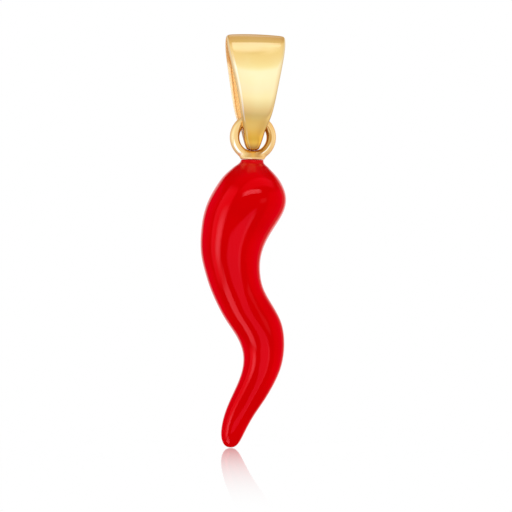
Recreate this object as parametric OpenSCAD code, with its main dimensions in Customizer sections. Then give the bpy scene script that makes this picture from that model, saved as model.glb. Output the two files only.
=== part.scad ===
// Horn charm pendant: a folded strap bail, a soldered loop and an enamelled horn.
// Millimetres. X is to the right, Y to the back and Z up. The origin is where the
// chain sits, under the middle of the bail's fold.

/* [Bail] */
// Height of the bail, from the top of its fold to the tip of its tongue
bail_height = 8.4; // [7.8:0.1:9.4]
// Width of the strap at the fold
bail_width = 4.28; // [3.8:0.02:4.7]
// Depth of the bail from front to back, where it is fullest
bail_depth = 3.3; // [3:0.05:3.8]
// Thickness of the strap
strap_wall = 0.35; // [0.3:0.01:0.42]
// Fall of the strap's crowned face from its middle to its edges
strap_crown = 0.08; // [0.02:0.01:0.1]
// Radius of the strap's rounded edges
edge_round = 0.12; // [0.06:0.01:0.14]

/* [Seat] */
// Height of the rounded floor that closes the bottom of the bail's opening
floor_rise = 0.5; // [0.35:0.05:0.7]
// How far the groove for the wire is sunk into that floor
groove_depth = 0.05; // [0.03:0.01:0.08]

/* [Loop] */
// Diameter of the round wire of the loop
wire_d = 0.7; // [0.6:0.02:0.8]
// Diameter of the hole through the loop
loop_hole = 2; // [1.9:0.02:2.2]

/* [Collar] */
// Diameter of the collar under the loop
collar_d = 1.64; // [1.5:0.02:1.9]
// How much of the loop's foot is filed flat, level with the collar's base
foot_cut = 0.1; // [0.02:0.01:0.14]
// Height of the collar's straight rim
rim_height = 0.12; // [0.08:0.01:0.16]
// Height of the solder that runs up from the rim to the wire
solder_height = 0.42; // [0.3:0.02:0.42]
// Thickness of that solder in front of and behind the wire, at its top
solder_skin = 0.06; // [0.02:0.01:0.1]
// Diameter of the peg that the horn is set on
peg_d = 0.9; // [0.7:0.05:1.1]
// Length of that peg under the collar
peg_length = 1.6; // [1.2:0.1:2.2]

/* [Horn] */
// Length of the horn from its neck to its tip
horn_length = 20.92; // [18:0.1:24]
// Width of the horn where it is broadest, measured level
horn_width = 5.78; // [5:0.02:6.6]
// Depth of the horn from front to back at the same place
horn_depth = 5.24; // [4.6:0.05:6]
// How far the middle of the horn strays to the left of the loop, at most
horn_lean = 1.43; // [0.8:0.01:1.8]
// Height over which the neck flares out of the collar
neck_height = 0.5; // [0.3:0.05:0.8]

/* [Clearances] */
// Gap between the loop's wire and the seat in the bail
seat_gap = 0.05; // [0.03:0.01:0.1]
// How far past the edge of the tongue the groove still follows the wire
groove_spare = 0.03; // [0.02:0.01:0.06]
// Gap between the tongue's tip and the inside of the loop
tip_gap = 0.08; // [0.07:0.01:0.15]
// Gap between the collar and the top of the horn
neck_gap = 0.03; // [0.02:0.01:0.08]
// Gap around the peg and under its end
peg_gap = 0.03; // [0.02:0.01:0.08]

/* [Hidden] */

// Roundness of the wire, the collar and the peg
$fn = 64;

// Steps of the outline from the fold to the tip of the tongue, and points on one edge round
strap_steps = 36;
edge_steps = 4;
// Points across the face of the strap between its edge rounds
face_steps = 8;
// Steps round the floor of the opening and along the groove
floor_steps = 8;
groove_steps = 8;
// Steps down the inside of the strap, and a step short enough to tell its direction
inside_steps = 28;
short_step = 0.002;
// Levels from the neck to the tip of the horn, and points around each level
horn_levels = 66;
horn_sides = 32;

// The bail's tip, then the loop's centre and the wire's centre at the top of the loop
tip_z = strap_wall - bail_height;
loop_z = tip_z - tip_gap + loop_hole / 2;
loop_r = (loop_hole + wire_d) / 2;
pivot_z = loop_z + loop_r;
// The groove's lowest point, and the floor of the opening on both sides of it
seat_z = pivot_z - wire_d / 2 - seat_gap;
floor_z = seat_z + groove_depth;
// Base and rim of the collar, and the top of the horn under it
collar_z = loop_z - loop_r - wire_d / 2 + foot_cut;
rim_z = collar_z + rim_height;
horn_z = collar_z - neck_gap;

// Columns of the two tables: how far down the height or length a row lies, how much of the
// width and of the depth it has there, and how much of the lean, to the right
down = 0;
wide = 1;
deep = 2;
lean = 3;

// The bail from its fold down to its tip
bail_form = [
//   down,  wide,  deep
    [0.000, 0.880, 0.000],
    [0.000, 0.925, 0.120],
    [0.012, 0.985, 0.235],
    [0.040, 1.002, 0.315],
    [0.078, 1.000, 0.388],
    [0.125, 0.984, 0.472],
    [0.182, 0.946, 0.574],
    [0.245, 0.894, 0.680],
    [0.315, 0.833, 0.784],
    [0.390, 0.770, 0.878],
    [0.460, 0.711, 0.950],
    [0.535, 0.652, 0.996],
    [0.610, 0.597, 1.000],
    [0.680, 0.543, 0.940],
    [0.740, 0.484, 0.810],
    [0.790, 0.416, 0.650],
    [0.840, 0.348, 0.480],
    [0.890, 0.285, 0.330],
    [0.935, 0.228, 0.245],
    [0.970, 0.186, 0.215],
    [0.994, 0.150, 0.175],
    [1.000, 0.100, 0.080],
    [1.000, 0.080, 0.000]];

// The horn from its neck down to its tip
horn_form = [
//   down,  wide,  deep,   lean
    [0.000, 0.293, 0.325,  0.000],
    [0.016, 0.349, 0.380, -0.029],
    [0.032, 0.485, 0.530, -0.058],
    [0.058, 0.687, 0.745, -0.067],
    [0.086, 0.818, 0.885, -0.077],
    [0.114, 0.920, 0.965, -0.115],
    [0.142, 0.982, 1.000, -0.192],
    [0.170, 1.000, 0.998, -0.308],
    [0.198, 0.978, 0.980, -0.452],
    [0.226, 0.932, 0.955, -0.615],
    [0.282, 0.822, 0.888, -0.894],
    [0.338, 0.746, 0.815, -1.000],
    [0.392, 0.691, 0.752, -0.885],
    [0.448, 0.667, 0.698, -0.663],
    [0.502, 0.706, 0.664, -0.202],
    [0.557, 0.720, 0.654,  0.269],
    [0.612, 0.602, 0.622,  0.673],
    [0.667, 0.511, 0.568,  0.865],
    [0.723, 0.477, 0.512,  0.798],
    [0.779, 0.456, 0.460,  0.481],
    [0.835, 0.439, 0.410,  0.058],
    [0.892, 0.370, 0.370, -0.394],
    [0.947, 0.303, 0.306, -0.654],
    [0.976, 0.240, 0.244, -0.721],
    [0.994, 0.157, 0.168, -0.740],
    [1.000, 0.062, 0.070, -0.740],
    [1.000, 0.000, 0.000, -0.740]];

// Row i of a table, carried on in a straight line past either end
function row(rows, i) =
    i < 0 ? 2 * rows[0] - rows[1]
    : i >= len(rows) ? 2 * rows[len(rows) - 1] - rows[len(rows) - 2]
    : rows[i];

// A smooth curve along the rows of a table, from share 0 at the first row to 1 at the last
function along(rows, share) =
    let (place = share * (len(rows) - 1),
         i = min(floor(place), len(rows) - 2),
         t = place - i)
    (pow(1 - t, 3) * row(rows, i - 1)
     + (3 * pow(t, 3) - 6 * pow(t, 2) + 4) * row(rows, i)
     + (3 * pow(1 - t, 3) - 6 * pow(1 - t, 2) + 4) * row(rows, i + 1)
     + pow(t, 3) * row(rows, i + 2)) / 6;

// A share that eases from 0 to 1 as it goes from 0 to 1
function ease(share) = let (s = min(max(share, 0), 1)) s * s * (3 - 2 * s);

// Outline of the bail seen from its side, as half depth and height, and its half width there
function strap_at(share) =
    let (form = along(bail_form, share))
    [form[deep] * bail_depth / 2, strap_wall - form[down] * bail_height];
function strap_half_width(share) = along(bail_form, share)[wide] * bail_width / 2;

// Outward direction of that outline
function strap_out(share) =
    let (way = strap_at(min(share + short_step, 1)) - strap_at(max(share - short_step, 0)))
    share <= 0 ? [0, 1] : share >= 1 ? [0, -1] : [-way[1], way[0]] / norm(way);

// Points across the strap, as distance from the middle and fall from the crowned middle
function strap_across(half) =
    let (edge = [for (k = [0:edge_steps])
                 let (turn = 90 * k / edge_steps)
                 [half - edge_round * (1 - cos(turn)), edge_round * (1 - sin(turn))]],
         flat = half - edge_round,
         face = [for (k = [1:2 * face_steps - 1]) [flat * (k / face_steps - 1), 0]],
         all = concat([for (p = edge) [-p[0], p[1]]], face,
                      [for (k = [edge_steps:-1:0]) edge[k]]))
    [for (p = all) [p[0], p[1] + strap_crown * pow(p[0] / half, 2)]];

// The strap's outer surface at one place on the outline, on the front (-1) or the back (1)
function strap_row(share, side) =
    let (at = strap_at(share), out = strap_out(share))
    [for (p = strap_across(strap_half_width(share)))
     [p[0], side * (at[0] - p[1] * out[0]), at[1] - p[1] * out[1]]];

// The bail before it is hollowed: its crowned outer surface, closed at both sides
module strap_outside() {
    across = len(strap_across(1));
    around = 2 * strap_steps;
    rows = [for (j = [0:around - 1])
            j <= strap_steps ? strap_row(j / strap_steps, -1)
            : strap_row((around - j) / strap_steps, 1)];
    skin = [for (j = [0:around - 1], k = [0:across - 2])
            let (a = j * across + k, b = (j + 1) % around * across + k)
            each [[a, b, b + 1], [a, b + 1, a + 1]]];
    sides = [for (j = [0:strap_steps - 1])
             let (a = j * across, b = (j + 1) * across,
                  c = (around - j - 1) * across, d = (around - j) % around * across,
                  far = across - 1)
             each concat(
                 j < strap_steps - 1 ? [[a, c, b], [a + far, b + far, c + far]] : [],
                 j > 0 ? [[a, d, c], [a + far, c + far, d + far]] : [])];
    polyhedron([for (r = rows) each r], concat(skin, sides), convexity = 6);
}

// The outline moved in by the strap's thickness
function strap_in(share) = strap_at(share) - strap_wall * strap_out(share);

// The place along the outline, found by halving, where that inner line comes down to a height
function share_down_to(z, low = 0.2, high = 0.95, tries = 16) =
    let (middle = (low + high) / 2)
    tries == 0 ? middle
    : strap_in(middle)[1] > z ? share_down_to(z, middle, high, tries - 1)
    : share_down_to(z, low, middle, tries - 1);

// Half of the opening seen from the side: down the inside of the strap, then round its floor
function opening_half() =
    let (last = share_down_to(floor_z + floor_rise),
         start = strap_in(last),
         way = start - strap_in(last - short_step),
         turn = start + way * (floor_z - start[1]) / way[1])
    concat([for (k = [0:inside_steps]) strap_in(last * k / inside_steps)],
           [for (k = [1:floor_steps])
            let (t = k / floor_steps)
            pow(1 - t, 2) * start + 2 * t * (1 - t) * turn + pow(t, 2) * [0, floor_z]]);

// The opening that the chain and the loop pass through, from side to side
module opening() {
    half = opening_half();
    other = [for (k = [len(half) - 2:-1:1]) [-half[k][0], half[k][1]]];
    rotate([90, 0, 90])
        linear_extrude(height = 2 * bail_width, center = true)
            polygon(concat(half, other));
}

// How far the wire and its gap reach below the pivot, at a distance from the loop's middle
// that stays inside its hole
function groove_r(x) =
    loop_r + seat_gap - sqrt(max(pow(loop_hole / 2, 2) - pow(x, 2), 0));

// Half width of the tongue, found by halving, where the wire crosses its edge
function groove_end(low = 0.5, high = 1, tries = 16) =
    let (middle = (low + high) / 2, half = strap_half_width(middle))
    tries == 0 ? half
    : groove_r(half) > pivot_z - strap_at(middle)[1] ? groove_end(middle, high, tries - 1)
    : groove_end(low, middle, tries - 1);

// What the top of the loop sweeps as it swings, with the gap round it: a waisted spindle
module swing_groove() {
    span = groove_end() + groove_spare;
    waist = [for (k = [-groove_steps:groove_steps])
             let (x = span * k / groove_steps)
             [groove_r(x), x]];
    translate([0, 0, pivot_z])
        rotate([0, 90, 0])
            rotate_extrude()
                polygon(concat([[0, -bail_width], [waist[0][0], -bail_width]], waist,
                               [[waist[0][0], bail_width], [0, bail_width]]));
}

// Folded strap, soldered into one solid tongue under the loop
module bail() {
    color("gold")
        difference() {
            strap_outside();
            opening();
            swing_groove();
        }
}

// Round wire ring, filed flat where it stands on the collar
module ring() {
    difference() {
        translate([0, 0, loop_z])
            rotate([90, 0, 0])
                rotate_extrude()
                    translate([loop_r, 0])
                        circle(d = wire_d);
        translate([-loop_r, -loop_r, collar_z - loop_r])
            cube([2 * loop_r, 2 * loop_r, loop_r]);
    }
}

// Collar with its peg below and the cone of solder above
module collar() {
    neck_r = wire_d / 2 + solder_skin;
    solder_z = rim_z + solder_height;
    rotate_extrude()
        polygon([[0, collar_z - peg_length], [peg_d / 2, collar_z - peg_length],
                 [peg_d / 2, collar_z], [collar_d / 2, collar_z],
                 [collar_d / 2, rim_z], [neck_r, solder_z], [0, solder_z]]);
}

// Loop, collar and peg, soldered together
module horn_loop() {
    color("goldenrod")
        union() {
            ring();
            collar();
        }
}

// One level of the horn: its points, from the neck at share 0 to the tip at share 1
function horn_level(share) =
    let (form = along(horn_form, share),
         drop = form[down] * horn_length,
         flare = ease(drop / neck_height),
         width = (1 - flare) * collar_d + flare * form[wide] * horn_width,
         depth = (1 - flare) * collar_d + flare * form[deep] * horn_depth)
    [for (k = [0:horn_sides - 1])
     let (turn = 360 * k / horn_sides)
     [form[lean] * horn_lean + width / 2 * cos(turn), depth / 2 * sin(turn), horn_z - drop]];

// The curved horn, closed flat at the neck and to a point at the tip
module horn_outside() {
    tip = [along(horn_form, 1)[lean] * horn_lean, 0, horn_z - horn_length];
    points = [for (j = [0:horn_levels - 1]) each horn_level(j / horn_levels)];
    top = [for (k = [0:horn_sides - 1]) k];
    skin = [for (j = [0:horn_levels - 2], k = [0:horn_sides - 1])
            let (a = j * horn_sides, b = a + horn_sides, n = (k + 1) % horn_sides)
            each [[a + k, b + k, b + n], [a + k, b + n, a + n]]];
    last = (horn_levels - 1) * horn_sides;
    point = [for (k = [0:horn_sides - 1])
             [last + k, len(points), last + (k + 1) % horn_sides]];
    polyhedron(concat(points, [tip]), concat([top], skin, point), convexity = 4);
}

// Enamelled horn, bored for the peg
module horn() {
    bore = peg_length + peg_gap - neck_gap;
    color("red")
        difference() {
            horn_outside();
            translate([0, 0, horn_z - bore])
                cylinder(h = 2 * bore, d = peg_d + 2 * peg_gap);
        }
}

bail();
horn_loop();
horn();
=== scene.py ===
import math

import bmesh
import bpy
import numpy as np
from mathutils import Matrix, Quaternion, Vector


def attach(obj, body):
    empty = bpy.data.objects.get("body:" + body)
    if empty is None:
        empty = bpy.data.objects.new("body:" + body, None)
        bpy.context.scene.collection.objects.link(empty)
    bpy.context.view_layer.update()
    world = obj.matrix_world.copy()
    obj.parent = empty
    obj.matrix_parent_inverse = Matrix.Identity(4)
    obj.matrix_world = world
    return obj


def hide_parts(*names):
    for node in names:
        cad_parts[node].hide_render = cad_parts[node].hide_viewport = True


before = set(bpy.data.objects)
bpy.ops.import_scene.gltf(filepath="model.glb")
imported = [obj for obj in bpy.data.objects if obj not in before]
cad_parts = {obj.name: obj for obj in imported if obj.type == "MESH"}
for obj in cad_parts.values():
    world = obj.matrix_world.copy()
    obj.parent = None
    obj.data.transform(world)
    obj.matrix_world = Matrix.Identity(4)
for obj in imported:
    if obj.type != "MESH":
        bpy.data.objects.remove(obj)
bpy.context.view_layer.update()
print("frame loaded:", ", ".join(sorted(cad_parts)))

mm = 0.001  # the shapes below are in millimetres, as in the part's source


# Cubic curve along the rows of a table, at shares from 0 to 1, as the part's source has it
def alongRows(rows, share):
    rows = np.array(rows, float)
    padded = np.vstack([2 * rows[0] - rows[1], rows, 2 * rows[-1] - rows[-2]])
    place = np.clip(share, 0, 1) * (len(rows) - 1)
    first = np.minimum(place.astype(int), len(rows) - 2)
    t = (place - first)[:, None]
    return ((1 - t) ** 3 * padded[first]
            + (3 * t ** 3 - 6 * t ** 2 + 4) * padded[first + 1]
            + (3 * (1 - t) ** 3 - 6 * (1 - t) ** 2 + 4) * padded[first + 2]
            + t ** 3 * padded[first + 3]) / 6


# Shares along an outline, closer together where it turns
def evenShares(across, down, count, turnWeight):
    way = np.unwrap(np.arctan2(np.diff(across), -np.diff(down)))
    turn = np.abs(np.diff(way, append=way[-1]))
    travel = np.hypot(np.diff(across), np.diff(down)) + turnWeight * turn
    travel = np.concatenate([[0], np.cumsum(travel)])
    return np.interp(np.linspace(0, travel[-1], count), travel, np.linspace(0, 1, len(travel)))


def smoothStep(low, high, x):
    t = np.clip((x - low) / (high - low), 0, 1)
    return t * t * (3 - 2 * t)


# Faces of a grid of points that closes round in the second direction, and in the first if asked
def gridFaces(rows, columns, closedRows):
    faces = []
    for j in range(rows if closedRows else rows - 1):
        for k in range(columns):
            a, b = j * columns, (j + 1) % rows * columns
            n = (k + 1) % columns
            faces.append((a + k, b + k, b + n, a + n))
    return faces


def addObject(name, data):
    added = bpy.data.objects.new(name, data)
    bpy.context.scene.collection.objects.link(added)
    return added


# Makes a smooth piece from points in millimetres, on its body, in place of its CAD node
def makePiece(name, points, faces, materials, body, node, inside=None):
    mesh = bpy.data.meshes.new(name)
    mesh.from_pydata((np.array(points) * mm).tolist(), [], faces)
    for material in materials:
        mesh.materials.append(material)
    for face in mesh.polygons:
        face.use_smooth = True
        face.material_index = int(inside is not None and inside[face.index])
    work = bmesh.new()
    work.from_mesh(mesh)
    bmesh.ops.recalc_face_normals(work, faces=work.faces)
    work.to_mesh(mesh)
    work.free()
    piece = addObject(name, mesh)
    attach(piece, body)
    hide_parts(node)
    print(f"{name}: {len(mesh.vertices)} points, {len(mesh.polygons)} faces")
    return piece


# Camera, level with the object and turned a little to its left
cameraView = {
    "azimuth": -10.0,    # degrees, to the left of the object
    "roll": 1.5,         # the object leans clockwise in the picture
    "distance": 0.35,
    "pictureWidth": 512 * 30 / 413.2 * mm,  # 30 mm take 413.2 of the picture's 512 pixels
    "right": 0.450 * mm,  # where the middle of the picture is, right of and above the origin
    "up": -15.74 * mm,
}


def makeCamera(v):
    turn = math.radians(v["azimuth"])
    roll = math.radians(v["roll"])
    right = Vector((math.cos(turn), math.sin(turn), 0))
    up = Vector((0, 0, 1))
    back = right.cross(up)
    middle = right * v["right"] + up * v["up"]
    data = bpy.data.cameras.new("camera")
    data.sensor_width = 36
    data.lens = 36 * v["distance"] / v["pictureWidth"]
    data.clip_start = 0.01
    camera = addObject("camera", data)
    rolledRight = right * math.cos(roll) + up * math.sin(roll)
    rolledUp = up * math.cos(roll) - right * math.sin(roll)
    axes = Matrix((rolledRight, rolledUp, back)).transposed().to_4x4()
    camera.matrix_world = Matrix.Translation(middle + back * v["distance"]) @ axes
    bpy.context.scene.camera = camera
    return rolledUp


pictureUp = makeCamera(cameraView)
print("camera set")


# Small helpers for node trees
def addNode(tree, kind, **values):
    node = tree.nodes.new(kind)
    for name, value in values.items():
        setattr(node, name, value)
    return node


# Links a socket to an input, or sets a plain value on it
def feed(tree, value, socket):
    if isinstance(value, bpy.types.NodeSocket):
        tree.links.new(value, socket)
    elif value is not None:
        socket.default_value = value


def maths(tree, operation, *values):
    node = addNode(tree, "ShaderNodeMath", operation=operation)
    for socket, value in zip(node.inputs, values):
        feed(tree, value, socket)
    return node.outputs[0]


def times(tree, first, second):
    return maths(tree, "MULTIPLY", first, second)


# Share from 0 to 1 as a value goes from one limit to the other
def fade(tree, value, start, end):
    node = addNode(tree, "ShaderNodeMapRange", interpolation_type="SMOOTHSTEP")
    feed(tree, value, node.inputs["Value"])
    feed(tree, start, node.inputs["From Min"])
    feed(tree, end, node.inputs["From Max"])
    return node.outputs["Result"]


def mixColours(tree, share, first, second, blend="MIX"):
    node = addNode(tree, "ShaderNodeMix", data_type="RGBA", blend_type=blend)
    feed(tree, share, node.inputs["Factor"])
    feed(tree, first, node.inputs["A"])
    feed(tree, second, node.inputs["B"])
    return node.outputs["Result"]


def newGroup(name, inputs, outputs):
    group = bpy.data.node_groups.new(name, "ShaderNodeTree")
    for label, value in inputs:
        socket = group.interface.new_socket(label, in_out="INPUT", socket_type="NodeSocketFloat")
        socket.default_value = value
    for label in outputs:
        group.interface.new_socket(label, in_out="OUTPUT", socket_type="NodeSocketFloat")
    return group, addNode(group, "NodeGroupInput"), addNode(group, "NodeGroupOutput")


def useGroup(tree, group, **values):
    node = addNode(tree, "ShaderNodeGroup", node_tree=group)
    for label, value in values.items():
        feed(tree, value, node.inputs[label])
    return node.outputs[0]


# Relief with a depth in millimetres, on top of another relief if one is given
def addBump(tree, height, depth, under=None, invert=False):
    node = addNode(tree, "ShaderNodeBump", invert=invert)
    feed(tree, height, node.inputs["Height"])
    node.inputs["Distance"].default_value = depth * mm
    feed(tree, under, node.inputs["Normal"])
    return node.outputs[0]


# Place on the piece, in millimetres
def placeInMm(tree):
    scaled = addNode(tree, "ShaderNodeVectorMath", operation="SCALE")
    feed(tree, addNode(tree, "ShaderNodeTexCoord").outputs["Object"], scaled.inputs[0])
    scaled.inputs["Scale"].default_value = 1 / mm
    return scaled.outputs[0]


# X, Y and Z of a place or a direction
def splitAxes(tree, vector):
    axes = addNode(tree, "ShaderNodeSeparateXYZ")
    feed(tree, vector, axes.inputs[0])
    return axes.outputs


def axesInMm(tree):
    return splitAxes(tree, placeInMm(tree))


# Low waves that polishing leaves in a surface
def makeWavesGroup():
    group, start, end = newGroup("polishWaves", [("Size", 1.5), ("Detail", 1.0)], ["Height"])
    noise = addNode(group, "ShaderNodeTexNoise")
    feed(group, placeInMm(group), noise.inputs["Vector"])
    feed(group, maths(group, "DIVIDE", 1, start.outputs["Size"]), noise.inputs["Scale"])
    feed(group, start.outputs["Detail"], noise.inputs["Detail"])
    noise.inputs["Roughness"].default_value = 0.4
    feed(group, noise.outputs["Fac"], end.inputs["Height"])
    return group


# Fine lines left by the cloth and by wear, drawn out along one way
def makeHairlinesGroup():
    group, start, end = newGroup("hairlines", [("Spacing", 0.05), ("Turn", 0.0), ("Length", 20.0),
                                               ("Share", 0.3)], ["Mask"])
    turned = addNode(group, "ShaderNodeVectorRotate", rotation_type="AXIS_ANGLE")
    feed(group, placeInMm(group), turned.inputs["Vector"])
    turned.inputs["Axis"].default_value = (0.1, 1.0, 0.15)
    feed(group, start.outputs["Turn"], turned.inputs["Angle"])
    scale = addNode(group, "ShaderNodeCombineXYZ")
    fine = maths(group, "DIVIDE", 1, start.outputs["Spacing"])
    feed(group, fine, scale.inputs["X"])
    feed(group, fine, scale.inputs["Y"])
    feed(group, maths(group, "DIVIDE", fine, start.outputs["Length"]), scale.inputs["Z"])
    drawn = addNode(group, "ShaderNodeVectorMath", operation="MULTIPLY")
    feed(group, turned.outputs[0], drawn.inputs[0])
    feed(group, scale.outputs[0], drawn.inputs[1])
    noise = addNode(group, "ShaderNodeTexNoise")
    feed(group, drawn.outputs[0], noise.inputs["Vector"])
    noise.inputs["Scale"].default_value = 1
    noise.inputs["Detail"].default_value = 2
    fewest, most, soft = 0.72, 0.42, 0.12    # noise levels at which lines start, and their soft edge
    edge = maths(group, "SUBTRACT", fewest, times(group, start.outputs["Share"], fewest - most))
    lines = fade(group, noise.outputs["Fac"], edge, maths(group, "ADD", edge, soft))
    feed(group, lines, end.inputs["Mask"])
    return group


# Scattered specks of dust and tiny pits
def makeSpecksGroup():
    group, start, end = newGroup("specks", [("Spacing", 0.3), ("Size", 0.12), ("Share", 0.3)], ["Mask"])
    cells = addNode(group, "ShaderNodeTexVoronoi")
    feed(group, placeInMm(group), cells.inputs["Vector"])
    feed(group, maths(group, "DIVIDE", 1, start.outputs["Spacing"]), cells.inputs["Scale"])
    least = 0.02              # so that a size of nothing still has an edge
    reach = maths(group, "ADD", start.outputs["Size"], least)
    near = maths(group, "SUBTRACT", 1, fade(group, cells.outputs["Distance"], 0, reach))
    pick = addNode(group, "ShaderNodeSeparateColor")
    feed(group, cells.outputs["Color"], pick.inputs[0])
    some = maths(group, "LESS_THAN", pick.outputs["Red"], start.outputs["Share"])
    feed(group, times(group, near, some), end.inputs["Mask"])
    return group


wavesGroup = makeWavesGroup()
hairlinesGroup = makeHairlinesGroup()
specksGroup = makeSpecksGroup()
print("effect groups made")


def newMaterial(name):
    material = bpy.data.materials.new(name)
    material.use_nodes = True
    return material, material.node_tree, material.node_tree.nodes["Principled BSDF"]


toneSpread = (0.3, 0.7)    # of the slow waves, from one tone of a colour to the other


# Polished gold, with painted shade, warmth and painted highlights given as masks from the place on the
# piece
def makeGold(name, f, paintedShadeMask, warmMask=None, paintedHighlightMask=None, dullMask=None):
    material, tree, shader = newMaterial(name)
    waves = useGroup(tree, wavesGroup, **f["waves"])
    tone = useGroup(tree, wavesGroup, **f["tones"])
    lines = useGroup(tree, hairlinesGroup, **f["lines"])
    crossed = useGroup(tree, hairlinesGroup, **f["crossedLines"])
    dust = useGroup(tree, specksGroup, **f["dust"])
    pale = fade(tree, tone, *toneSpread)
    colour = mixColours(tree, pale, (*f["gold"], 1), (*f["goldPale"], 1))
    if warmMask:
        colour = mixColours(tree, warmMask(tree), colour, (*f["goldWarm"], 1))
    # painted shade, mixed towards the dark gold
    colour = mixColours(tree, times(tree, paintedShadeMask(tree), f["dark"]), colour, (*f["goldDark"], 1))
    # painted highlights, mixed towards the bright gold
    if paintedHighlightMask:
        colour = mixColours(tree, paintedHighlightMask(tree), colour, (*f["goldGlint"], 1))
    feed(tree, colour, shader.inputs["Base Color"])
    shader.inputs["Metallic"].default_value = 1
    shader.inputs["Specular Tint"].default_value = (*f["edgeTint"], 1)
    marks = maths(tree, "MAXIMUM", lines, crossed)
    rough = maths(tree, "MULTIPLY_ADD", marks, f["lineRough"], f["rough"])
    rough = maths(tree, "MULTIPLY_ADD", dust, f["dustRough"], rough)
    if dullMask:
        rough = maths(tree, "MULTIPLY_ADD", dullMask(tree), f["dull"], rough)
    feed(tree, rough, shader.inputs["Roughness"])
    low = addBump(tree, waves, f["waveDepth"])
    feed(tree, addBump(tree, marks, f["lineDepth"], low, invert=True), shader.inputs["Normal"])
    return material


# Bail: a tapered strap folded over, its two ends soldered into one tongue
bail = {
    "height": 8.4,        # from the top of the fold to the tip of the tongue
    "width": 4.28,        # at the fold
    "depth": 3.3,         # front to back, where it is fullest
    "wall": 0.35,
    "crown": 0.08,        # fall of the face from its middle to its edges
    "edgeRound": 0.12,
    "bevel": 0.035,       # more fall, along a band beside each edge
    "bevelWide": 0.36,
    "innerRound": 0.04,
    "floorRise": 0.5,     # of the rounded floor that closes the opening
    "grooveDepth": 0.05,
    "grooveSpare": 0.06,  # how far past the tongue's edge the groove still follows the wire
    "grooveReach": 0.3,   # how far from the wire the inside still bends towards the groove
    "grooveSoft": 0.02,
    "seatGap": 0.05,
    "tipGap": 0.08,
    "tipShare": 0.93,     # from here down, the edges fade into the rounded tip
    "tipSofter": 0.6,     # and lose this share of their round and crown
    "seamDepth": 0.03,    # of the line where the two ends meet
    "seamWidth": 0.035,
    "seamTop": 0.1,       # its top, under the floor
    "bead": 0.034,        # of solder on the tip
    "beadReach": 0.4,     # up from the tip
    "stations": 170,      # from the fold down to the tip
    "steps": {"edge": 8, "face": 45, "wall": 13, "corner": 5, "inside": 35},
    "form": [             # down, wide and deep, as shares
        (0.000, 0.880, 0.000), (0.000, 0.925, 0.120), (0.012, 0.985, 0.235),
        (0.040, 1.002, 0.315), (0.078, 1.000, 0.388), (0.125, 0.984, 0.472),
        (0.182, 0.946, 0.574), (0.245, 0.894, 0.680), (0.315, 0.833, 0.784),
        (0.390, 0.770, 0.878), (0.460, 0.711, 0.950), (0.535, 0.652, 0.996),
        (0.610, 0.597, 1.000), (0.680, 0.543, 0.940), (0.740, 0.484, 0.810),
        (0.790, 0.416, 0.650), (0.840, 0.362, 0.480), (0.890, 0.332, 0.330),
        (0.935, 0.288, 0.245), (0.970, 0.243, 0.215), (0.994, 0.192, 0.175),
        (1.000, 0.135, 0.080), (1.000, 0.110, 0.000)],
}
# Loop: a ring of round wire, soldered upright on a short round collar
loop = {
    "wire": 0.7,
    "hole": 2.0,
    "collar": 1.64,       # diameters, all three
    "footCut": 0.1,       # of the loop's foot, filed level with the collar's base
    "rimHeight": 0.12,
    "rimRound": 0.05,
    "coneHeight": 0.42,   # of the cone of solder on the rim
    "coneSkin": 0.06,     # of that cone around the wire, at its top
    "solder": 0.30,       # reach of the solder where the wire meets the cone
    "around": 96,         # points round the rough ring and round its wire
    "section": 24,
    "grain": 0.032,       # size of its faces
    "smoothing": 8,       # times that its points are drawn onto the smooth surface
}
# Horn: enamel over a thin core, bent twice, round in section
horn = {
    "length": 20.92,
    "width": 5.78,        # where it is broadest, and its depth there
    "depth": 5.24,
    "lean": 1.43,         # how far it strays to the left of the loop, at most
    "neckHeight": 0.5,    # over which it flares out from the collar
    "neckRound": 0.05,
    "neckGap": 0.03,      # under the collar
    "levels": 230,
    "sides": 112,
    "form": [             # down, wide, deep and leaning to the right, as shares
        (0.000, 0.293, 0.325, 0.000), (0.016, 0.349, 0.380, -0.029),
        (0.032, 0.485, 0.530, -0.058), (0.058, 0.687, 0.745, -0.067),
        (0.086, 0.818, 0.885, -0.077), (0.114, 0.920, 0.965, -0.115),
        (0.142, 0.982, 1.000, -0.192), (0.170, 1.000, 0.998, -0.308),
        (0.198, 0.978, 0.980, -0.452), (0.226, 0.932, 0.955, -0.615),
        (0.282, 0.822, 0.888, -0.894), (0.338, 0.746, 0.815, -1.000),
        (0.392, 0.691, 0.752, -0.885), (0.448, 0.667, 0.698, -0.663),
        (0.502, 0.706, 0.664, -0.202), (0.557, 0.720, 0.654, 0.269),
        (0.612, 0.602, 0.622, 0.673), (0.667, 0.511, 0.568, 0.865),
        (0.723, 0.477, 0.512, 0.798), (0.779, 0.456, 0.460, 0.481),
        (0.835, 0.439, 0.410, 0.058), (0.892, 0.370, 0.370, -0.394),
        (0.947, 0.303, 0.306, -0.654), (0.976, 0.240, 0.244, -0.721),
        (0.994, 0.157, 0.168, -0.740), (1.000, 0.062, 0.070, -0.740),
        (1.000, 0.000, 0.000, -0.740)],
}

# Heights of the pieces, as the part's source has them
tipZ = bail["wall"] - bail["height"]
loopZ = tipZ - bail["tipGap"] + loop["hole"] / 2
loopRadius = (loop["hole"] + loop["wire"]) / 2
pivotZ = loopZ + loopRadius
floorZ = pivotZ - loop["wire"] / 2 - bail["seatGap"] + bail["grooveDepth"]
collarZ = loopZ - loopRadius - loop["wire"] / 2 + loop["footCut"]
hornZ = collarZ - horn["neckGap"]
fineShares = np.linspace(0, 1, 3001)    # for reading a table closely


# Radius that the swinging wire needs at a distance from the loop's middle
def grooveRadius(x, span):
    inside = np.maximum((loop["hole"] / 2) ** 2 - np.minimum(np.abs(x), span) ** 2, 0)
    return loopRadius + bail["seatGap"] - np.sqrt(inside)


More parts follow.
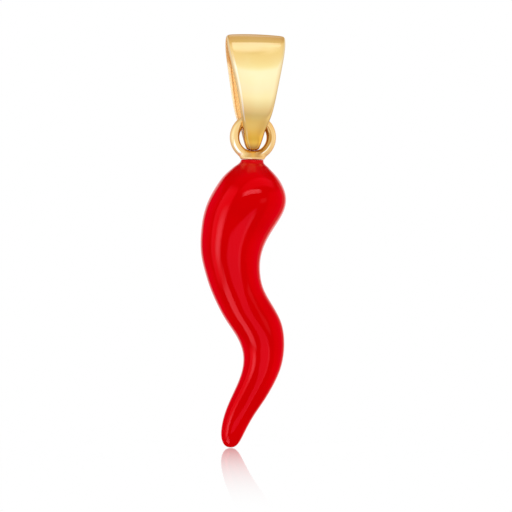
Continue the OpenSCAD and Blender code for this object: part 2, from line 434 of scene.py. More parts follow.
# Rings of points over the face and back along the inside, from the tip up over the fold and down
def bailPoints(b):
    dense = fineShares
    form = alongRows(b["form"], dense)
    denseY = form[:, 2] * b["depth"] / 2
    denseZ = b["wall"] - form[:, 0] * b["height"]
    denseHalf = form[:, 1] * b["width"] / 2
    wayY, wayZ = np.gradient(denseY), np.gradient(denseZ)
    length = np.hypot(wayY, wayZ)
    outY, outZ = -wayZ / length, wayY / length

    # where the inner line meets the rounded floor, and the floor's curve
    innerZ = denseZ - b["wall"] * outZ
    lower = dense > 0.3       # past the fold
    last = dense[lower][np.argmax(innerZ[lower] <= floorZ + b["floorRise"])]

    def at(share):
        return [np.interp(share, dense, v) for v in (denseY, denseZ, outY, outZ, denseHalf)]

    def inner(share):
        y, z, ny, nz = at(share)[:4]
        return np.array([y - b["wall"] * ny, z - b["wall"] * nz])

    shortStep = 0.002         # enough to tell its direction
    start = inner(last)
    way = start - inner(last - shortStep)
    bend = start + way * (floorZ - start[1]) / way[1]
    order = np.argsort(denseZ)

    def halfAt(z):
        return np.interp(z, denseZ[order], denseHalf[order])

    # half width where the wire crosses the edge of the tongue, in the lower half of the strap
    anyWidth = b["width"] * 2
    reach = (grooveRadius(denseHalf, anyWidth) > pivotZ - denseZ) & (dense > 0.5)
    span = denseHalf[np.nonzero(reach)[0][-1]] + b["grooveSpare"]

    shares = evenShares(denseY, denseZ, b["stations"], turnWeight=0.6)
    stations = [(-1, s) for s in shares[::-1]] + [(1, s) for s in shares[1:-1]]
    steps = b["steps"]
    rounds = np.radians(np.linspace(0, 90, steps["edge"]))
    faceX = np.sin(np.linspace(-90, 90, steps["face"])[1:-1] / 180 * math.pi)
    wallPlace = np.linspace(0, 1, steps["wall"])[1:-1]
    innerX = np.linspace(1, -1, steps["inside"])[1:-1]
    cornerTurn = np.radians(np.linspace(90, 0, steps["corner"]))
    points = []
    across = []               # 0 in the middle of the strap, 1 at its edges
    for side, share in stations:
        y, z, ny, nz, half = at(share)
        spent = float(smoothStep(b["tipShare"], 1.0, share))
        soft = b["edgeRound"] * (1 - b["tipSofter"] * spent)
        crown = b["crown"] * (1 - b["tipSofter"] * spent)
        bevel = b["bevel"] * (1 - spent)
        line = []             # x as a share of the half width, y, z, 1 where it is inside
        rim = [(half - soft * (1 - math.cos(t)), soft * (1 - math.sin(t))) for t in rounds]
        face = [(u * (half - soft), 0) for u in faceX]
        outer = [(-x, fall) for x, fall in rim] + face + rim[::-1]
        for x, fall in outer:
            fall += crown * (x / half) ** 2
            fall += bevel * max(0, 1 - (half - abs(x)) / b["bevelWide"]) ** 2
            line.append((x / half, y - fall * ny, z - fall * nz, 0))
        edge = np.array([line[-1][1], line[-1][2]])
        if share <= last:
            foot = inner(share)
        else:
            t = (share - last) / (1 - last)
            foot = (1 - t) ** 2 * start + 2 * t * (1 - t) * bend + t ** 2 * np.array([0, floorZ])
        corner = b["innerRound"]
        toEdge = (edge - foot) / np.linalg.norm(edge - foot)
        turned = foot + toEdge * corner
        inset = corner / half
        wallLine = [(1, *(edge + (turned - edge) * g), 1) for g in wallPlace]
        cornerLine = [(1 - inset * (1 - math.sin(t)), *(foot + toEdge * corner * (1 - math.cos(t))), 1)
                      for t in cornerTurn]
        innerLine = [(u * (1 - inset), *foot, 1) for u in innerX]
        right = wallLine + cornerLine
        left = [(-u, py, pz, within) for u, py, pz, within in right[::-1]]
        firstInside = len(line) + len(wallLine) - 1
        pastInside = len(line) + len(right) + len(innerLine) + len(cornerLine)
        line += right + innerLine + left
        for u, py, pz, within in line:
            py *= side
            width = float(halfAt(pz))
            if within:
                # the groove that the wire swings in
                away = math.hypot(py, pz - pivotZ)
                need = float(grooveRadius(u * width, span))
                gap = away - need
                if gap < b["grooveReach"]:
                    pushed = (away + need + math.hypot(gap, b["grooveSoft"])) / 2
                    py, pz = py * pushed / away, pivotZ + (pz - pivotZ) * pushed / away
                    width = float(halfAt(pz))
            # the line where the two ends of the strap meet
            seam = 0
            if pz < floorZ - b["seamTop"]:
                seam = b["seamDepth"] * math.exp(-(py / b["seamWidth"]) ** 2)
            if within:
                width -= seam * abs(u) ** 8
            else:
                pz += seam
            pz -= b["bead"] * float(smoothStep(tipZ + b["beadReach"], tipZ, pz))
            points.append((u * width, py, pz))
            across.append(abs(u))
    columns = len(points) // len(stations)
    faces = gridFaces(len(stations), columns, True)
    insideFaces = [firstInside <= i % columns < pastInside for i in range(len(faces))]
    return points, faces, insideFaces, across


bailGold = {
    "gold": (0.92, 0.665, 0.255),
    "goldPale": (0.92, 0.68, 0.285),
    "goldWarm": (1.00, 0.60, 0.095),
    "goldDark": (0.48, 0.24, 0.07),
    "dark": 0.85,
    "edgeTint": (0.86, 0.68, 0.50),
    "rough": 0.035,
    "tones": {"Size": 1.6, "Detail": 3.0},
    "waves": {"Size": 1.3, "Detail": 1.5},
    "waveDepth": 0.0015,
    "lines": {"Spacing": 0.022, "Turn": 0.25, "Length": 26.0, "Share": 0.30},
    "crossedLines": {"Spacing": 0.0308, "Turn": 1.15, "Length": 15.6, "Share": 0.18},
    "lineDepth": 0.00006,
    "lineRough": 0.05,
    "dust": {"Spacing": 0.35, "Size": 0.07, "Share": 0.05},
    "dustRough": 0.3,
    "darkSides": (0.60, 0.92),        # how squarely a side faces out, from plain to full painted shade
    "darkUnder": (0.2, -0.4),         # heights from the opening's floor, from plain to full painted shade
    "darkAtTip": (0.62, 0.1),         # and heights from the tip, from plain to painted shade where it sits in the loop
    "warmHeights": (-0.1, 0.75),      # from the floor, where the warmth starts, and from the tip
}


# Share from 0 to 1 between two heights that are measured from a level of the part
def between(tree, height, level, heights):
    return fade(tree, height, level + heights[0], level + heights[1])


# Painted shade where the strap's sides face out beside the wire, below the opening's floor, and at the
# tip where it sits in the loop
def bailPaintedShade(tree):
    height = axesInMm(tree)["Z"]
    facing = splitAxes(tree, addNode(tree, "ShaderNodeTexCoord").outputs["Normal"])
    # painted shade on sides that face squarely out, below the opening's floor
    shadedFlank = fade(tree, maths(tree, "ABSOLUTE", facing["X"]), *bailGold["darkSides"])
    under = between(tree, height, floorZ, bailGold["darkUnder"])
    nearTip = between(tree, height, tipZ, bailGold["darkAtTip"])
    return maths(tree, "MAXIMUM", times(tree, shadedFlank, under), nearTip)


# Warmer down the tongue, where solder was run in
def bailWarm(tree):
    start, end = bailGold["warmHeights"]
    return fade(tree, axesInMm(tree)["Z"], floorZ + start, tipZ + end)


insideGold = {
    "gold": (0.88, 0.63, 0.26),
    "goldPale": (0.92, 0.75, 0.42),
    "goldDeep": (0.54, 0.25, 0.05),
    "metal": 0.35,
    "rough": 0.25,
    "streaks": {"Spacing": 0.16, "Turn": 0.0, "Length": 24.0, "Share": 0.35},
    "streakPale": 0.5,
    "lines": {"Spacing": 0.096, "Turn": 0.06, "Length": 24.0, "Share": 0.35},
    "lineDark": 0.4,
    "lineRough": 0.15,
    "lineDepth": 0.0003,
    "paleEdge": 0.91,         # painted highlight from here to its edges, as shares of its half width
    "edgeSoft": 0.02,
    "deepLine": (0.865, 0.035),   # middle and half width of the painted dark reflection line beside that
    "deepSoft": 0.3,
    "deepShare": 0.8,
    "fold": (-2.3, -1.5),     # heights between which painted shade comes in under the fold
    "foldShare": 0.85,
}


# The strap's inside: streaked by the drawplate, with a painted highlight along its edges, a painted dark
# reflection line beside that, and painted shade under the fold
def makeInsideGold(name, f):
    material, tree, shader = newMaterial(name)
    streaks = useGroup(tree, hairlinesGroup, **f["streaks"])
    lines = useGroup(tree, hairlinesGroup, **f["lines"])
    # painted shade, growing towards the fold
    under = fade(tree, axesInMm(tree)["Z"], *f["fold"])
    across = addNode(tree, "ShaderNodeAttribute", attribute_name="across").outputs["Fac"]
    # painted highlight along the edges, dimmed by the painted shade under the fold
    edge = fade(tree, across, f["paleEdge"] - f["edgeSoft"], f["paleEdge"] + f["edgeSoft"])
    lit = maths(tree, "SUBTRACT", 1, times(tree, under, f["foldShare"]))
    edge = times(tree, edge, lit)
    # painted dark reflection line beside the highlight, joined with the painted shade under the fold
    middle, half = f["deepLine"]
    off = maths(tree, "ABSOLUTE", maths(tree, "SUBTRACT", across, middle))
    deep = maths(tree, "MAXIMUM", fade(tree, off, half, half * f["deepSoft"]), under)
    gold, pale, dark = ((*f[tone], 1) for tone in ("gold", "goldPale", "goldDeep"))
    colour = mixColours(tree, times(tree, streaks, f["streakPale"]), gold, pale)
    colour = mixColours(tree, times(tree, lines, f["lineDark"]), colour, dark)
    colour = mixColours(tree, times(tree, deep, f["deepShare"]), colour, dark)
    colour = mixColours(tree, edge, colour, pale)
    feed(tree, colour, shader.inputs["Base Color"])
    shader.inputs["Metallic"].default_value = f["metal"]
    rough = maths(tree, "MULTIPLY_ADD", lines, f["lineRough"], f["rough"])
    feed(tree, rough, shader.inputs["Roughness"])
    feed(tree, addBump(tree, lines, f["lineDepth"], invert=True), shader.inputs["Normal"])
    return material


points, faces, insideFaces, across = bailPoints(bail)
bailPiece = makePiece("bail_strap", points, faces,
                      [makeGold("polishedStrapGold", bailGold, bailPaintedShade, bailWarm),
                       makeInsideGold("strapInsideGold", insideGold)],
                      "bail", "bail", insideFaces)
bailPiece.data.attributes.new("across", "FLOAT", "POINT").data.foreach_set("value", across)


def smoothMax(first, second, reach):
    near = np.maximum(reach - np.abs(first - second), 0)
    return np.maximum(first, second) + near ** 2 / (4 * reach)


# Distance from the surface of the wire ring, its solder and its collar
def loopField(p):
    x, y, z = p.T
    ring = np.hypot(np.hypot(x, z - loopZ) - loopRadius, y) - loop["wire"] / 2
    out, up = np.hypot(x, y), z - collarZ
    rim = loop["collar"] / 2
    slope = (rim - loop["wire"] / 2 - loop["coneSkin"]) / loop["coneHeight"]
    cone = (out - rim + (up - loop["rimHeight"]) * slope) / math.hypot(1, slope)
    collar = smoothMax(smoothMax(out - rim, cone, loop["rimRound"]),
                       up - loop["rimHeight"] - loop["coneHeight"], loop["rimRound"])
    joined = -smoothMax(-ring, -collar, loop["solder"])
    return smoothMax(joined, -up, loop["rimRound"] / 2)


# Slope of a field, by small steps
def fieldSlope(field, p):
    step = 1e-3
    slope = np.zeros_like(p)
    for axis in range(3):
        shift = np.zeros(3)
        shift[axis] = step
        slope[:, axis] = (field(p + shift) - field(p - shift)) / (2 * step)
    return slope


def loopMesh():
    work = bmesh.new()
    wire = loop["wire"] / 2
    around, section = loop["around"], loop["section"]
    ringPoints = []
    for j in range(around):
        turn = 2 * math.pi * j / around
        for k in range(section):
            roll = 2 * math.pi * k / section
            out = loopRadius + wire * math.cos(roll)
            ringPoints.append(work.verts.new((out * math.cos(turn), wire * math.sin(roll),
                                              loopZ + out * math.sin(turn))))
    for face in gridFaces(around, section, True):
        work.faces.new([ringPoints[i] for i in face])
    high = loop["rimHeight"] + loop["coneHeight"]
    bmesh.ops.create_cone(work, cap_ends=True, segments=64, radius1=loop["collar"] / 2,
                          radius2=loop["wire"] / 2 + loop["coneSkin"], depth=high,
                          matrix=Matrix.Translation((0, 0, collarZ + high / 2)))
    mesh = bpy.data.meshes.new("loopRough")
    bmesh.ops.recalc_face_normals(work, faces=work.faces)
    work.to_mesh(mesh)
    work.free()
    rough = addObject("loopRough", mesh)
    remesh = rough.modifiers.new("remesh", "REMESH")
    remesh.mode = "VOXEL"
    remesh.voxel_size = loop["grain"]
    fine = rough.evaluated_get(bpy.context.evaluated_depsgraph_get()).to_mesh()
    points = np.array([v.co for v in fine.vertices], float)
    faces = [tuple(f.vertices) for f in fine.polygons]
    bpy.data.objects.remove(rough)
    bpy.data.meshes.remove(mesh)
    # draws every point onto the smooth joined surface, in steps that no crease makes too long
    leastSlope = 0.2
    for again in range(loop["smoothing"]):
        slope = fieldSlope(loopField, points)
        size = np.maximum((slope ** 2).sum(1, keepdims=True), leastSlope)
        points -= loopField(points)[:, None] * slope / size
    return points, faces


ringGold = {
    "gold": (0.92, 0.66, 0.25),
    "goldPale": (0.92, 0.68, 0.28),
    "goldDark": (0.56, 0.28, 0.05),
    # colour of the painted highlights
    "goldGlint": (1.00, 0.98, 0.74),
    "dark": 1.0,
    "edgeTint": (0.90, 0.72, 0.50),
    "dull": 0.42,
    "rough": 0.04,
    "tones": {"Size": 1.2, "Detail": 3.0},
    "waves": {"Size": 0.9, "Detail": 1.5},
    "waveDepth": 0.002,
    "lines": {"Spacing": 0.022, "Turn": 0.8, "Length": 18.0, "Share": 0.30},
    "crossedLines": {"Spacing": 0.0308, "Turn": 1.7, "Length": 10.8, "Share": 0.18},
    "lineDepth": 0.00006,
    "lineRough": 0.05,
    "dust": {"Spacing": 0.35, "Size": 0.07, "Share": 0.05},
    "dustRough": 0.3,
    "darkSide": (0.1, 0.7),       # from the middle to the right, where the inside gets a painted dark reflection
    "darkEdges": (0.14, 0.05),    # soft edges of that band, at the hole and on the wire's crest
    "glintInside": (0.12, 0.04),    # from the hole, painted highlight inside the left half
    "glintInsideSide": (0.1, -0.5),
    "glintInsideShare": 0.4,
    "glintLine": 0.035,             # within the wire's crest, a painted highlight line
    "glintLineEdges": (0.05, 0.02),
    "glintLineSide": (0.45, 0.75),
    "glintLineHeights": (-0.2, -0.75),
    "dullHeights": (0.05, -0.2),  # from the top of the solder
}


# Distance from the loop's centre to the right, in all and up
def ringPlace(tree):
    place = axesInMm(tree)
    up = maths(tree, "SUBTRACT", place["Z"], loopZ)
    flat = addNode(tree, "ShaderNodeCombineXYZ")
    feed(tree, place["X"], flat.inputs["X"])
    feed(tree, up, flat.inputs["Y"])
    out = addNode(tree, "ShaderNodeVectorMath", operation="LENGTH")
    feed(tree, flat.outputs[0], out.inputs[0])
    return place["X"], out.outputs["Value"], up


# Painted dark reflection on the inside of the ring's right half, where it faces the tongue's dark side
def ringPaintedDarkReflection(tree):
    x, radius = ringPlace(tree)[:2]
    hole = loop["hole"] / 2
    atHole, atCrest = ringGold["darkEdges"]
    band = times(tree, fade(tree, radius, loopRadius, loopRadius - atCrest),
                 fade(tree, radius, hole, hole + atHole))
    return times(tree, band, fade(tree, x, *ringGold["darkSide"]))


# Painted highlights: a bright line low on the wire's crest in the right half, and a bright band inside
# the left half
def ringPaintedHighlight(tree):
    x, radius, up = ringPlace(tree)
    inside = times(tree, between(tree, radius, loop["hole"] / 2, ringGold["glintInside"]),
                   fade(tree, x, *ringGold["glintInsideSide"]))
    off = maths(tree, "ABSOLUTE", maths(tree, "SUBTRACT", radius, loopRadius - ringGold["glintLine"]))
    line = times(tree, fade(tree, off, *ringGold["glintLineEdges"]),
                 fade(tree, x, *ringGold["glintLineSide"]))
    line = times(tree, line, fade(tree, up, *ringGold["glintLineHeights"]))
    return maths(tree, "MAXIMUM", times(tree, inside, ringGold["glintInsideShare"]), line)


# Less polished on the solder at the collar
def ringDull(tree):
    high = collarZ + loop["rimHeight"] + loop["coneHeight"]
    return between(tree, axesInMm(tree)["Z"], high, ringGold["dullHeights"])


points, faces = loopMesh()
loopPiece = makePiece("horn_ring", points, faces,
                      [makeGold("polishedRingGold", ringGold, ringPaintedDarkReflection, None, ringPaintedHighlight, ringDull)],
                      "charm", "horn_loop")


# Rings of points from the top of the neck down, then one point at each end
def hornPoints(h):
    def levels(share):
        form = alongRows(h["form"], share)
        drop = form[:, 0] * h["length"]
        flare = smoothStep(0, h["neckHeight"], drop)
        wide = (1 - flare) * loop["collar"] + flare * form[:, 1] * h["width"]
        deep = (1 - flare) * loop["collar"] + flare * form[:, 2] * h["depth"]
        return form[:, 3] * h["lean"], hornZ - drop, wide / 2, deep / 2

    z, wide = levels(fineShares)[1:3]
    shares = evenShares(wide, z, h["levels"], turnWeight=0.8)
    rows = []                 # middle, height, half width, half depth
    bend = h["neckRound"]
    neckWide, neckDeep = (float(size[0]) for size in levels(np.array([0.0]))[2:])
    for inside in (0.5, 0.85):
        rows.append((0.0, hornZ, inside * neckWide, inside * neckDeep))
    for turn in np.radians([90, 60, 30]):
        away = bend * (1 - math.cos(turn))
        rows.append((0.0, hornZ - bend * (1 - math.sin(turn)), neckWide - away, neckDeep - away))
    for row in zip(*levels(shares[:-1])):
        if row[1] <= hornZ - bend:
            rows.append(row)
    points = []
    for middle, height, wide, deep in rows:
        for k in range(h["sides"]):
            turn = 2 * math.pi * k / h["sides"]
            points.append((middle + wide * math.cos(turn), deep * math.sin(turn), height))
    faces = gridFaces(len(rows), h["sides"], False)
    top = len(points)
    points.append((0, 0, hornZ))
    points.append((h["form"][-1][3] * h["lean"], 0, hornZ - h["length"]))
    lastRow = (len(rows) - 1) * h["sides"]
    for k in range(h["sides"]):
        n = (k + 1) % h["sides"]
        faces.append((top, k, n))
        faces.append((top + 1, lastRow + n, lastRow + k))
    return points, faces


enamel = {
    "red": (0.665, 0.0, 0.001),
    "redDeep": (0.625, 0.0, 0.001),
    "gloss": (1, 0.1, 0.14),   # the red glass colours what it reflects
    "rough": 0.045,
    "pools": {"Size": 3.0, "Detail": 2.0},     # slow change of its depth
    "neckReach": 1.6,     # down from the collar, duller where the glass ends on the gold
    "neckRough": 0.22,
    "neckDeep": 0.5,
    "waves": {"Size": 2.2, "Detail": 1.0},
    "waveDepth": 0.004,
    "lines": {"Spacing": 0.03, "Turn": 0.5, "Length": 14.0, "Share": 0.2},
    "lineRough": 0.03,
    "pits": {"Spacing": 0.8, "Size": 0.05, "Share": 0.05},
    "pitRough": 0.2,
    "pitDepth": 0.001,
}


def makeEnamel(name, f):
    material, tree, shader = newMaterial(name)
    waves = useGroup(tree, wavesGroup, **f["waves"])
    pools = useGroup(tree, wavesGroup, **f["pools"])
    lines = useGroup(tree, hairlinesGroup, **f["lines"])
    pits = useGroup(tree, specksGroup, **f["pits"])
    red, deep = (*f["red"], 1), (*f["redDeep"], 1)
    colour = mixColours(tree, fade(tree, pools, *toneSpread), red, deep)
    neck = fade(tree, axesInMm(tree)["Z"], hornZ - f["neckReach"], hornZ)
    colour = mixColours(tree, times(tree, neck, f["neckDeep"]), colour, deep)
    feed(tree, colour, shader.inputs["Base Color"])
    shader.inputs["Metallic"].default_value = 0
    shader.inputs["IOR"].default_value = 1.5
    shader.inputs["Specular Tint"].default_value = (*f["gloss"], 1)
    rough = maths(tree, "MULTIPLY_ADD", neck, f["neckRough"], f["rough"])
    rough = maths(tree, "MULTIPLY_ADD", lines, f["lineRough"], rough)
    rough = maths(tree, "MULTIPLY_ADD", pits, f["pitRough"], rough)
    feed(tree, rough, shader.inputs["Roughness"])
    skin = addBump(tree, waves, f["waveDepth"])
    feed(tree, addBump(tree, pits, f["pitDepth"], skin, invert=True), shader.inputs["Normal"])
    return material


points, faces = hornPoints(horn)
hornPiece = makePiece("horn_enamel", points, faces, [makeEnamel("glossyRedEnamel", enamel)],
                      "charm", "horn")


# Light: white all round for the eye, soft panels and gradients in the reflections
studio = {
    "room": 1.0,              # even light on all that is matt
    "dome": 0.6,              # radius of the domes that the gold reflects
    "domeRows": 24,
    "domeAround": 48,
    "poleFade": 6,            # power by which a dome's change round it fades towards its poles
    "heights": (-70, 50),     # between which a dome's colour changes, in degrees
    "panels": 0.25,           # distance of the panels
    "bailMiddle": -4 * mm,    # heights about which the bail's and the enamel's lights stand
    "enamelMiddle": -18 * mm,
}
bailDome = {
    "height": [               # degrees above the horizon, with red, green and blue
        (-66, (0.84, 0.76, 0.55)), (-59, (0.79, 0.72, 0.55)), (-50, (0.735, 0.71, 0.62)),
        (-42, (0.71, 0.69, 0.64)), (-35, (0.75, 0.74, 0.74)), (-28, (0.82, 0.81, 0.84)),
        (-20, (0.88, 0.89, 0.97)), (-11, (0.94, 1.01, 1.18)), (-4, (1.00, 1.11, 1.36)),
        (3, (1.07, 1.24, 1.60)), (8, (1.11, 1.31, 1.78)), (18, (1.13, 1.33, 1.95)),
        (27, (1.14, 1.40, 2.08)), (31, (1.12, 1.40, 2.06)), (32.3, (1.09, 1.30, 1.62)),
        (34, (1.06, 1.18, 1.30)), (36.5, (1.03, 1.08, 1.13)), (39.4, (1.00, 1.01, 0.96)),
        (40.9, (0.84, 0.76, 0.60)), (43.5, (0.78, 0.69, 0.54)), (50, (0.73, 0.61, 0.49))],
    "round": [                # degrees to the right of the front, with its share of that
        (-180, (0.74, 0.66, 0.64)), (-140, (0.78, 0.66, 0.60)), (-110, (0.78, 0.68, 0.66)),
        (-75, (0.78, 0.66, 0.66)), (-48, (0.76, 0.64, 0.68)), (-33, (0.80, 0.70, 0.80)),
        (-22, (0.94, 0.84, 0.86)), (-12, (0.99, 0.92, 0.92)), (-4, (1.00, 0.92, 0.88)),
        (4, (1.00, 0.96, 0.93)), (9, (1.00, 1.00, 1.00)), (22, (1.00, 0.98, 0.97)),
        (30, (0.96, 0.88, 0.84)), (38, (0.86, 0.77, 0.72)), (60, (0.80, 0.71, 0.68)),
        (90, (0.78, 0.69, 0.66)), (150, (0.82, 0.74, 0.74)), (180, (0.74, 0.66, 0.64))],
    "panels": {               # azimuth, elevation, half width, half height, softness, turn, colour
        "foldBand": (10.5, 41.7, 13, 1.5, 0.6, 0, (0.32, 0.44, 0.88)),
        "foldLeft": (3.5, 40.4, 4.5, 0.8, 0.9, 0, (0.06, 0.08, 0.16)),
        "foldRight": (20, 40.1, 5, 0.9, 0.9, 0, (0.10, 0.14, 0.28)),
        "edgeStrip": (-14.9, -14, 5.4, 55.5, 0.3, -9.4, (0.05, 0.20, 1.00)),
        "ceiling": (0, 90, 26, 26, 0.9, 0, (0.07, 0.15, 0.65)),
        "leftLow": (-60, -24, 32, 28, 0.5, 0, (0.28, 0.30, 0.36)),
        "rightLow": (64, -34, 26, 28, 0.6, 0, (0.30, 0.30, 0.28)),
    },
}
ringDome = {
    "height": [
        (-66, (0.72, 0.62, 0.70)), (-45, (0.74, 0.66, 0.80)), (-28, (0.86, 0.78, 0.88)),
        (-14, (0.96, 0.92, 1.00)), (-2, (1.00, 0.99, 1.15)), (8, (1.02, 1.00, 1.12)),
        (20, (0.98, 0.93, 0.98)), (34, (0.94, 0.86, 0.84)), (48, (0.80, 0.70, 0.62)),
        (50, (0.78, 0.68, 0.62))],
    "round": [
        (-180, (0.88, 0.78, 0.80)), (-135, (0.84, 0.74, 0.78)), (-110, (0.96, 0.90, 0.94)),
        (-85, (1.06, 1.06, 1.14)), (-66, (1.10, 1.26, 1.56)), (-52, (1.12, 1.30, 1.60)),
        (-36, (1.06, 1.14, 1.28)), (-14, (1.02, 0.99, 0.90)), (-4, (1.02, 0.96, 0.88)),
        (10, (1.02, 0.97, 0.90)), (28, (1.00, 0.93, 0.88)), (48, (0.96, 0.88, 0.82)),
        (72, (1.08, 1.02, 1.00)), (110, (1.00, 0.88, 0.84)), (150, (0.92, 0.80, 0.80)),
        (180, (0.88, 0.78, 0.80))],
    "panels": {
        "ringGlint": (-30, -26, 30, 20, 0.55, 32, (0.50, 0.85, 3.00)),
    },
}
enamelPanels = {
    "leftMain": (-72, 9, 24, 42, 0.4, 0, (3.3, 0.5, 0.8)),
    "ceiling": (0, 80, 50, 26, 0.8, 0, (1.3, 0.0, 0.1)),
    "leftGlare": (-62, -4, 15, 27, 0.9, 0, (1.4, 6.5, 6.0)),
    "leftLow": (-50, -42, 16, 20, 0.5, 25, (3.6, 5.0, 5.0)),
    "crescent": (3, 33, 28, 7, 0.5, 0, (4.0, 9.0, 8.0)),
    "overhead": (30, 57, 55, 18, 0.6, 0, (2.2, 0.2, 0.4)),
    "lowFront": (0, -15, 29, 9, 0.4, 0, (2.0, 1.0, 1.7)),
    "lowGlare": (23, -16, 8, 7, 0.9, 0, (0.8, 1.6, 1.5)),
    "midRight": (38, 5, 13, 8, 0.7, 0, (0.9, 1.0, 0.9)),
    "right": (85, -2, 38, 34, 0.5, 0, (1.7, 0.0, 0.12)),
    "rightBack": (128, 0, 20, 38, 0.6, 0, (0.8, 0.2, 0.2)),
    "leftBack": (-122, 0, 28, 40, 0.4, 0, (1.2, 0.0, 0.1)),
    "back": (173, -2, 42, 36, 0.4, 0, (1.15, 1.0, 1.0)),
}


# Colours along a value, from a table of places between a low and a high one
def ramp(tree, value, stops, low, high):
    node = addNode(tree, "ShaderNodeValToRGB")
    elements = node.color_ramp.elements
    while len(elements) > 1:
        elements.remove(elements[-1])
    for i, (place, colour) in enumerate(stops):
        spot = (place - low) / (high - low)
        element = elements[0] if i == 0 else elements.new(spot)
        element.position = spot
        element.color = (*colour, 1)
    feed(tree, value, node.inputs[0])
    return node.outputs[0]


def makeWorld(s):
    world = bpy.data.worlds.new("studio")
    world.use_nodes = True
    world.cycles.sampling_method = "NONE"
    tree = world.node_tree
    tree.nodes.clear()
    path = addNode(tree, "ShaderNodeLightPath")
    plain = maths(tree, "MAXIMUM", path.outputs["Is Camera Ray"], path.outputs["Is Singular Ray"])
    lit = times(tree, path.outputs["Is Diffuse Ray"], s["room"])
    background = addNode(tree, "ShaderNodeBackground")
    background.inputs["Color"].default_value = (1, 1, 1, 1)
    feed(tree, maths(tree, "MAXIMUM", plain, lit), background.inputs["Strength"])
    out = addNode(tree, "ShaderNodeOutputWorld")
    feed(tree, background.outputs[0], out.inputs["Surface"])
    bpy.context.scene.world = world


# A level rectangle about its own origin
def rectangle(name, halfWide, halfHigh):
    mesh = bpy.data.meshes.new(name)
    corners = [(x * halfWide, y * halfHigh, 0) for x, y in ((-1, -1), (1, -1), (1, 1), (-1, 1))]
    mesh.from_pydata(corners, [], [(0, 1, 2, 3)])
    return mesh


# Glow that passes everything else through, seen only in the reflections on some pieces
def glowMaterial(name):
    material, tree = newMaterial(name)[:2]
    tree.nodes.clear()
    material.cycles.emission_sampling = "NONE"
    emission = addNode(tree, "ShaderNodeEmission")
    both = addNode(tree, "ShaderNodeAddShader")
    feed(tree, emission.outputs[0], both.inputs[0])
    feed(tree, addNode(tree, "ShaderNodeBsdfTransparent").outputs[0], both.inputs[1])
    out = addNode(tree, "ShaderNodeOutputMaterial")
    feed(tree, both.outputs[0], out.inputs["Surface"])
    return material, tree, emission


# Part of the studio that only some pieces see, in their reflections
def stageGlow(name, mesh, material, receivers, placed, diffuse=False):
    mesh.materials.append(material)
    piece = addObject(name, mesh)
    piece.matrix_world = placed
    piece.visible_camera = False
    piece.visible_diffuse = diffuse
    piece.visible_shadow = False
    piece.light_linking.receiver_collection = receivers


# Room of soft light round one piece, which also lights what is matt on it
def makeDome(name, s, d, receivers, middle):
    rows, around = s["domeRows"], s["domeAround"]
    points = []
    for j in range(1, rows):
        up = math.pi * (j / rows - 0.5)
        for k in range(around):
            turn = 2 * math.pi * k / around
            points.append([s["dome"] * c for c in (math.cos(up) * math.cos(turn),
                                                   math.cos(up) * math.sin(turn), math.sin(up))])
    faces = gridFaces(rows - 1, around, False)
    last = len(points) - around
    faces += [list(range(around)), list(range(last, last + around))]
    mesh = bpy.data.meshes.new(name)
    mesh.from_pydata(points, [], faces)
    material, tree, emission = glowMaterial(name)
    way = addNode(tree, "ShaderNodeVectorMath", operation="NORMALIZE")
    feed(tree, addNode(tree, "ShaderNodeTexCoord").outputs["Object"], way.inputs[0])
    axes = splitAxes(tree, way.outputs[0])
    height = addNode(tree, "ShaderNodeMapRange")
    feed(tree, maths(tree, "ARCSINE", axes["Z"]), height.inputs["Value"])
    height.inputs["From Min"].default_value = math.radians(s["heights"][0])
    height.inputs["From Max"].default_value = math.radians(s["heights"][1])
    turn = maths(tree, "ARCTAN2", axes["X"], times(tree, axes["Y"], -1))
    turn = maths(tree, "MULTIPLY_ADD", turn, 0.5 / math.pi, 0.5)
    steep = maths(tree, "POWER", maths(tree, "ABSOLUTE", axes["Z"]), s["poleFade"])
    level = maths(tree, "SUBTRACT", 1, steep)
    colour = mixColours(tree, level, ramp(tree, height.outputs[0], d["height"], *s["heights"]),
                        ramp(tree, turn, d["round"], -180, 180), "MULTIPLY")
    feed(tree, colour, emission.inputs["Color"])
    stageGlow(name, mesh, material, receivers, Matrix.Translation(middle), diffuse=True)
    makePanels(d["panels"], receivers, middle, s["panels"])


# Soft rectangles of light round a piece, each facing it
def makePanels(panels, receivers, middle, distance):
    for name, (azimuth, elevation, halfWide, halfHigh, soft, turned, colour) in panels.items():
        a, e = math.radians(azimuth), math.radians(elevation)
        out = Vector((math.sin(a) * math.cos(e), -math.cos(a) * math.cos(e), math.sin(e)))
        mesh = rectangle(name, distance * math.tan(math.radians(halfWide)),
                         distance * math.tan(math.radians(halfHigh)))
        material, tree, emission = glowMaterial(name)
        axes = splitAxes(tree, addNode(tree, "ShaderNodeTexCoord").outputs["Generated"])
        masks = []
        for axis in ("X", "Y"):
            off = maths(tree, "ABSOLUTE", maths(tree, "SUBTRACT", axes[axis], 0.5))
            masks.append(fade(tree, off, 0.5, 0.5 - 0.5 * soft))
        feed(tree, times(tree, *masks), emission.inputs["Strength"])
        emission.inputs["Color"].default_value = (*colour, 1)
        turn = (out.to_track_quat("Z", "Y") @ Quaternion((0, 0, 1), math.radians(turned))).to_matrix()
        stageGlow(name, mesh, material, receivers,
                  Matrix.Translation(middle + out * distance) @ turn.to_4x4())


def makeReceivers(name, piece):
    receivers = bpy.data.collections.new(name)
    receivers.objects.link(piece)
    return receivers


makeWorld(studio)
bpy.context.scene.view_settings.view_transform = "Standard"
bpy.context.scene.cycles.max_bounces = 16
bpy.context.scene.cycles.glossy_bounces = 12
makeDome("bailDome", studio, bailDome, makeReceivers("bailOnly", bailPiece),
         Vector((0, 0, studio["bailMiddle"])))
makeDome("ringDome", studio, ringDome, makeReceivers("ringOnly", loopPiece), Vector((0, 0, loopZ * mm)))
makePanels(enamelPanels, makeReceivers("hornOnly", hornPiece), Vector((0, 0, studio["enamelMiddle"])),
           studio["panels"])
print("studio made")


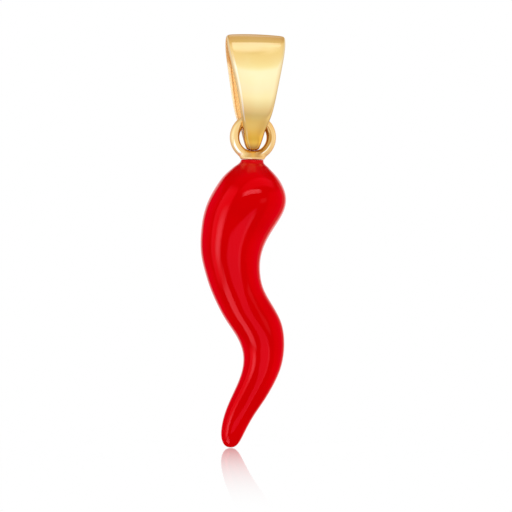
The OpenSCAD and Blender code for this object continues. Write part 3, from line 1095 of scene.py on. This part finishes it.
# Floor: plain white, with a short sharp reflection under the tip
floor = {
    "size": 3.0,          # metres
    "mirror": 0.87,       # share of the reflection at the tip, seen along the floor
    "fade": 86 * mm,      # distance from the tip at which it has gone
    "drop": 0.02 * mm,    # under the tip
}


def makeFloor(f):
    tipX = horn["form"][-1][3] * horn["lean"]
    tip = Vector((tipX * mm, 0, (hornZ - horn["length"]) * mm - f["drop"]))
    mesh = rectangle("floor", f["size"] / 2, f["size"] / 2)
    piece = addObject("floor", mesh)
    piece.matrix_world = Matrix.Translation(tip) @ pictureUp.to_track_quat("Z", "Y").to_matrix().to_4x4()
    material, tree = newMaterial("floor")[:2]
    tree.nodes.clear()
    material.cycles.emission_sampling = "NONE"
    away = addNode(tree, "ShaderNodeVectorMath", operation="LENGTH")
    feed(tree, addNode(tree, "ShaderNodeTexCoord").outputs["Object"], away.inputs[0])
    near = maths(tree, "SUBTRACT", 1, maths(tree, "DIVIDE", away.outputs["Value"], f["fade"]))
    near = maths(tree, "POWER", maths(tree, "MAXIMUM", near, 0), 2)
    near = times(tree, near, f["mirror"])
    fresnel = addNode(tree, "ShaderNodeFresnel")
    fresnel.inputs["IOR"].default_value = 1.5
    white = addNode(tree, "ShaderNodeEmission")
    white.inputs["Color"].default_value = (1, 1, 1, 1)
    mirror = addNode(tree, "ShaderNodeBsdfGlossy")
    mirror.inputs["Roughness"].default_value = 0
    mirror.inputs["Color"].default_value = (1, 1, 1, 1)
    top = addNode(tree, "ShaderNodeMixShader")
    feed(tree, times(tree, near, fresnel.outputs[0]), top.inputs[0])
    feed(tree, white.outputs[0], top.inputs[1])
    feed(tree, mirror.outputs[0], top.inputs[2])
    both = addNode(tree, "ShaderNodeMixShader")
    feed(tree, addNode(tree, "ShaderNodeNewGeometry").outputs["Backfacing"], both.inputs[0])
    feed(tree, top.outputs[0], both.inputs[1])
    feed(tree, addNode(tree, "ShaderNodeBsdfTransparent").outputs[0], both.inputs[2])
    out = addNode(tree, "ShaderNodeOutputMaterial")
    feed(tree, both.outputs[0], out.inputs["Surface"])
    mesh.materials.append(material)
    piece.visible_diffuse = False
    piece.visible_glossy = False
    piece.visible_shadow = False


makeFloor(floor)
print("floor made")
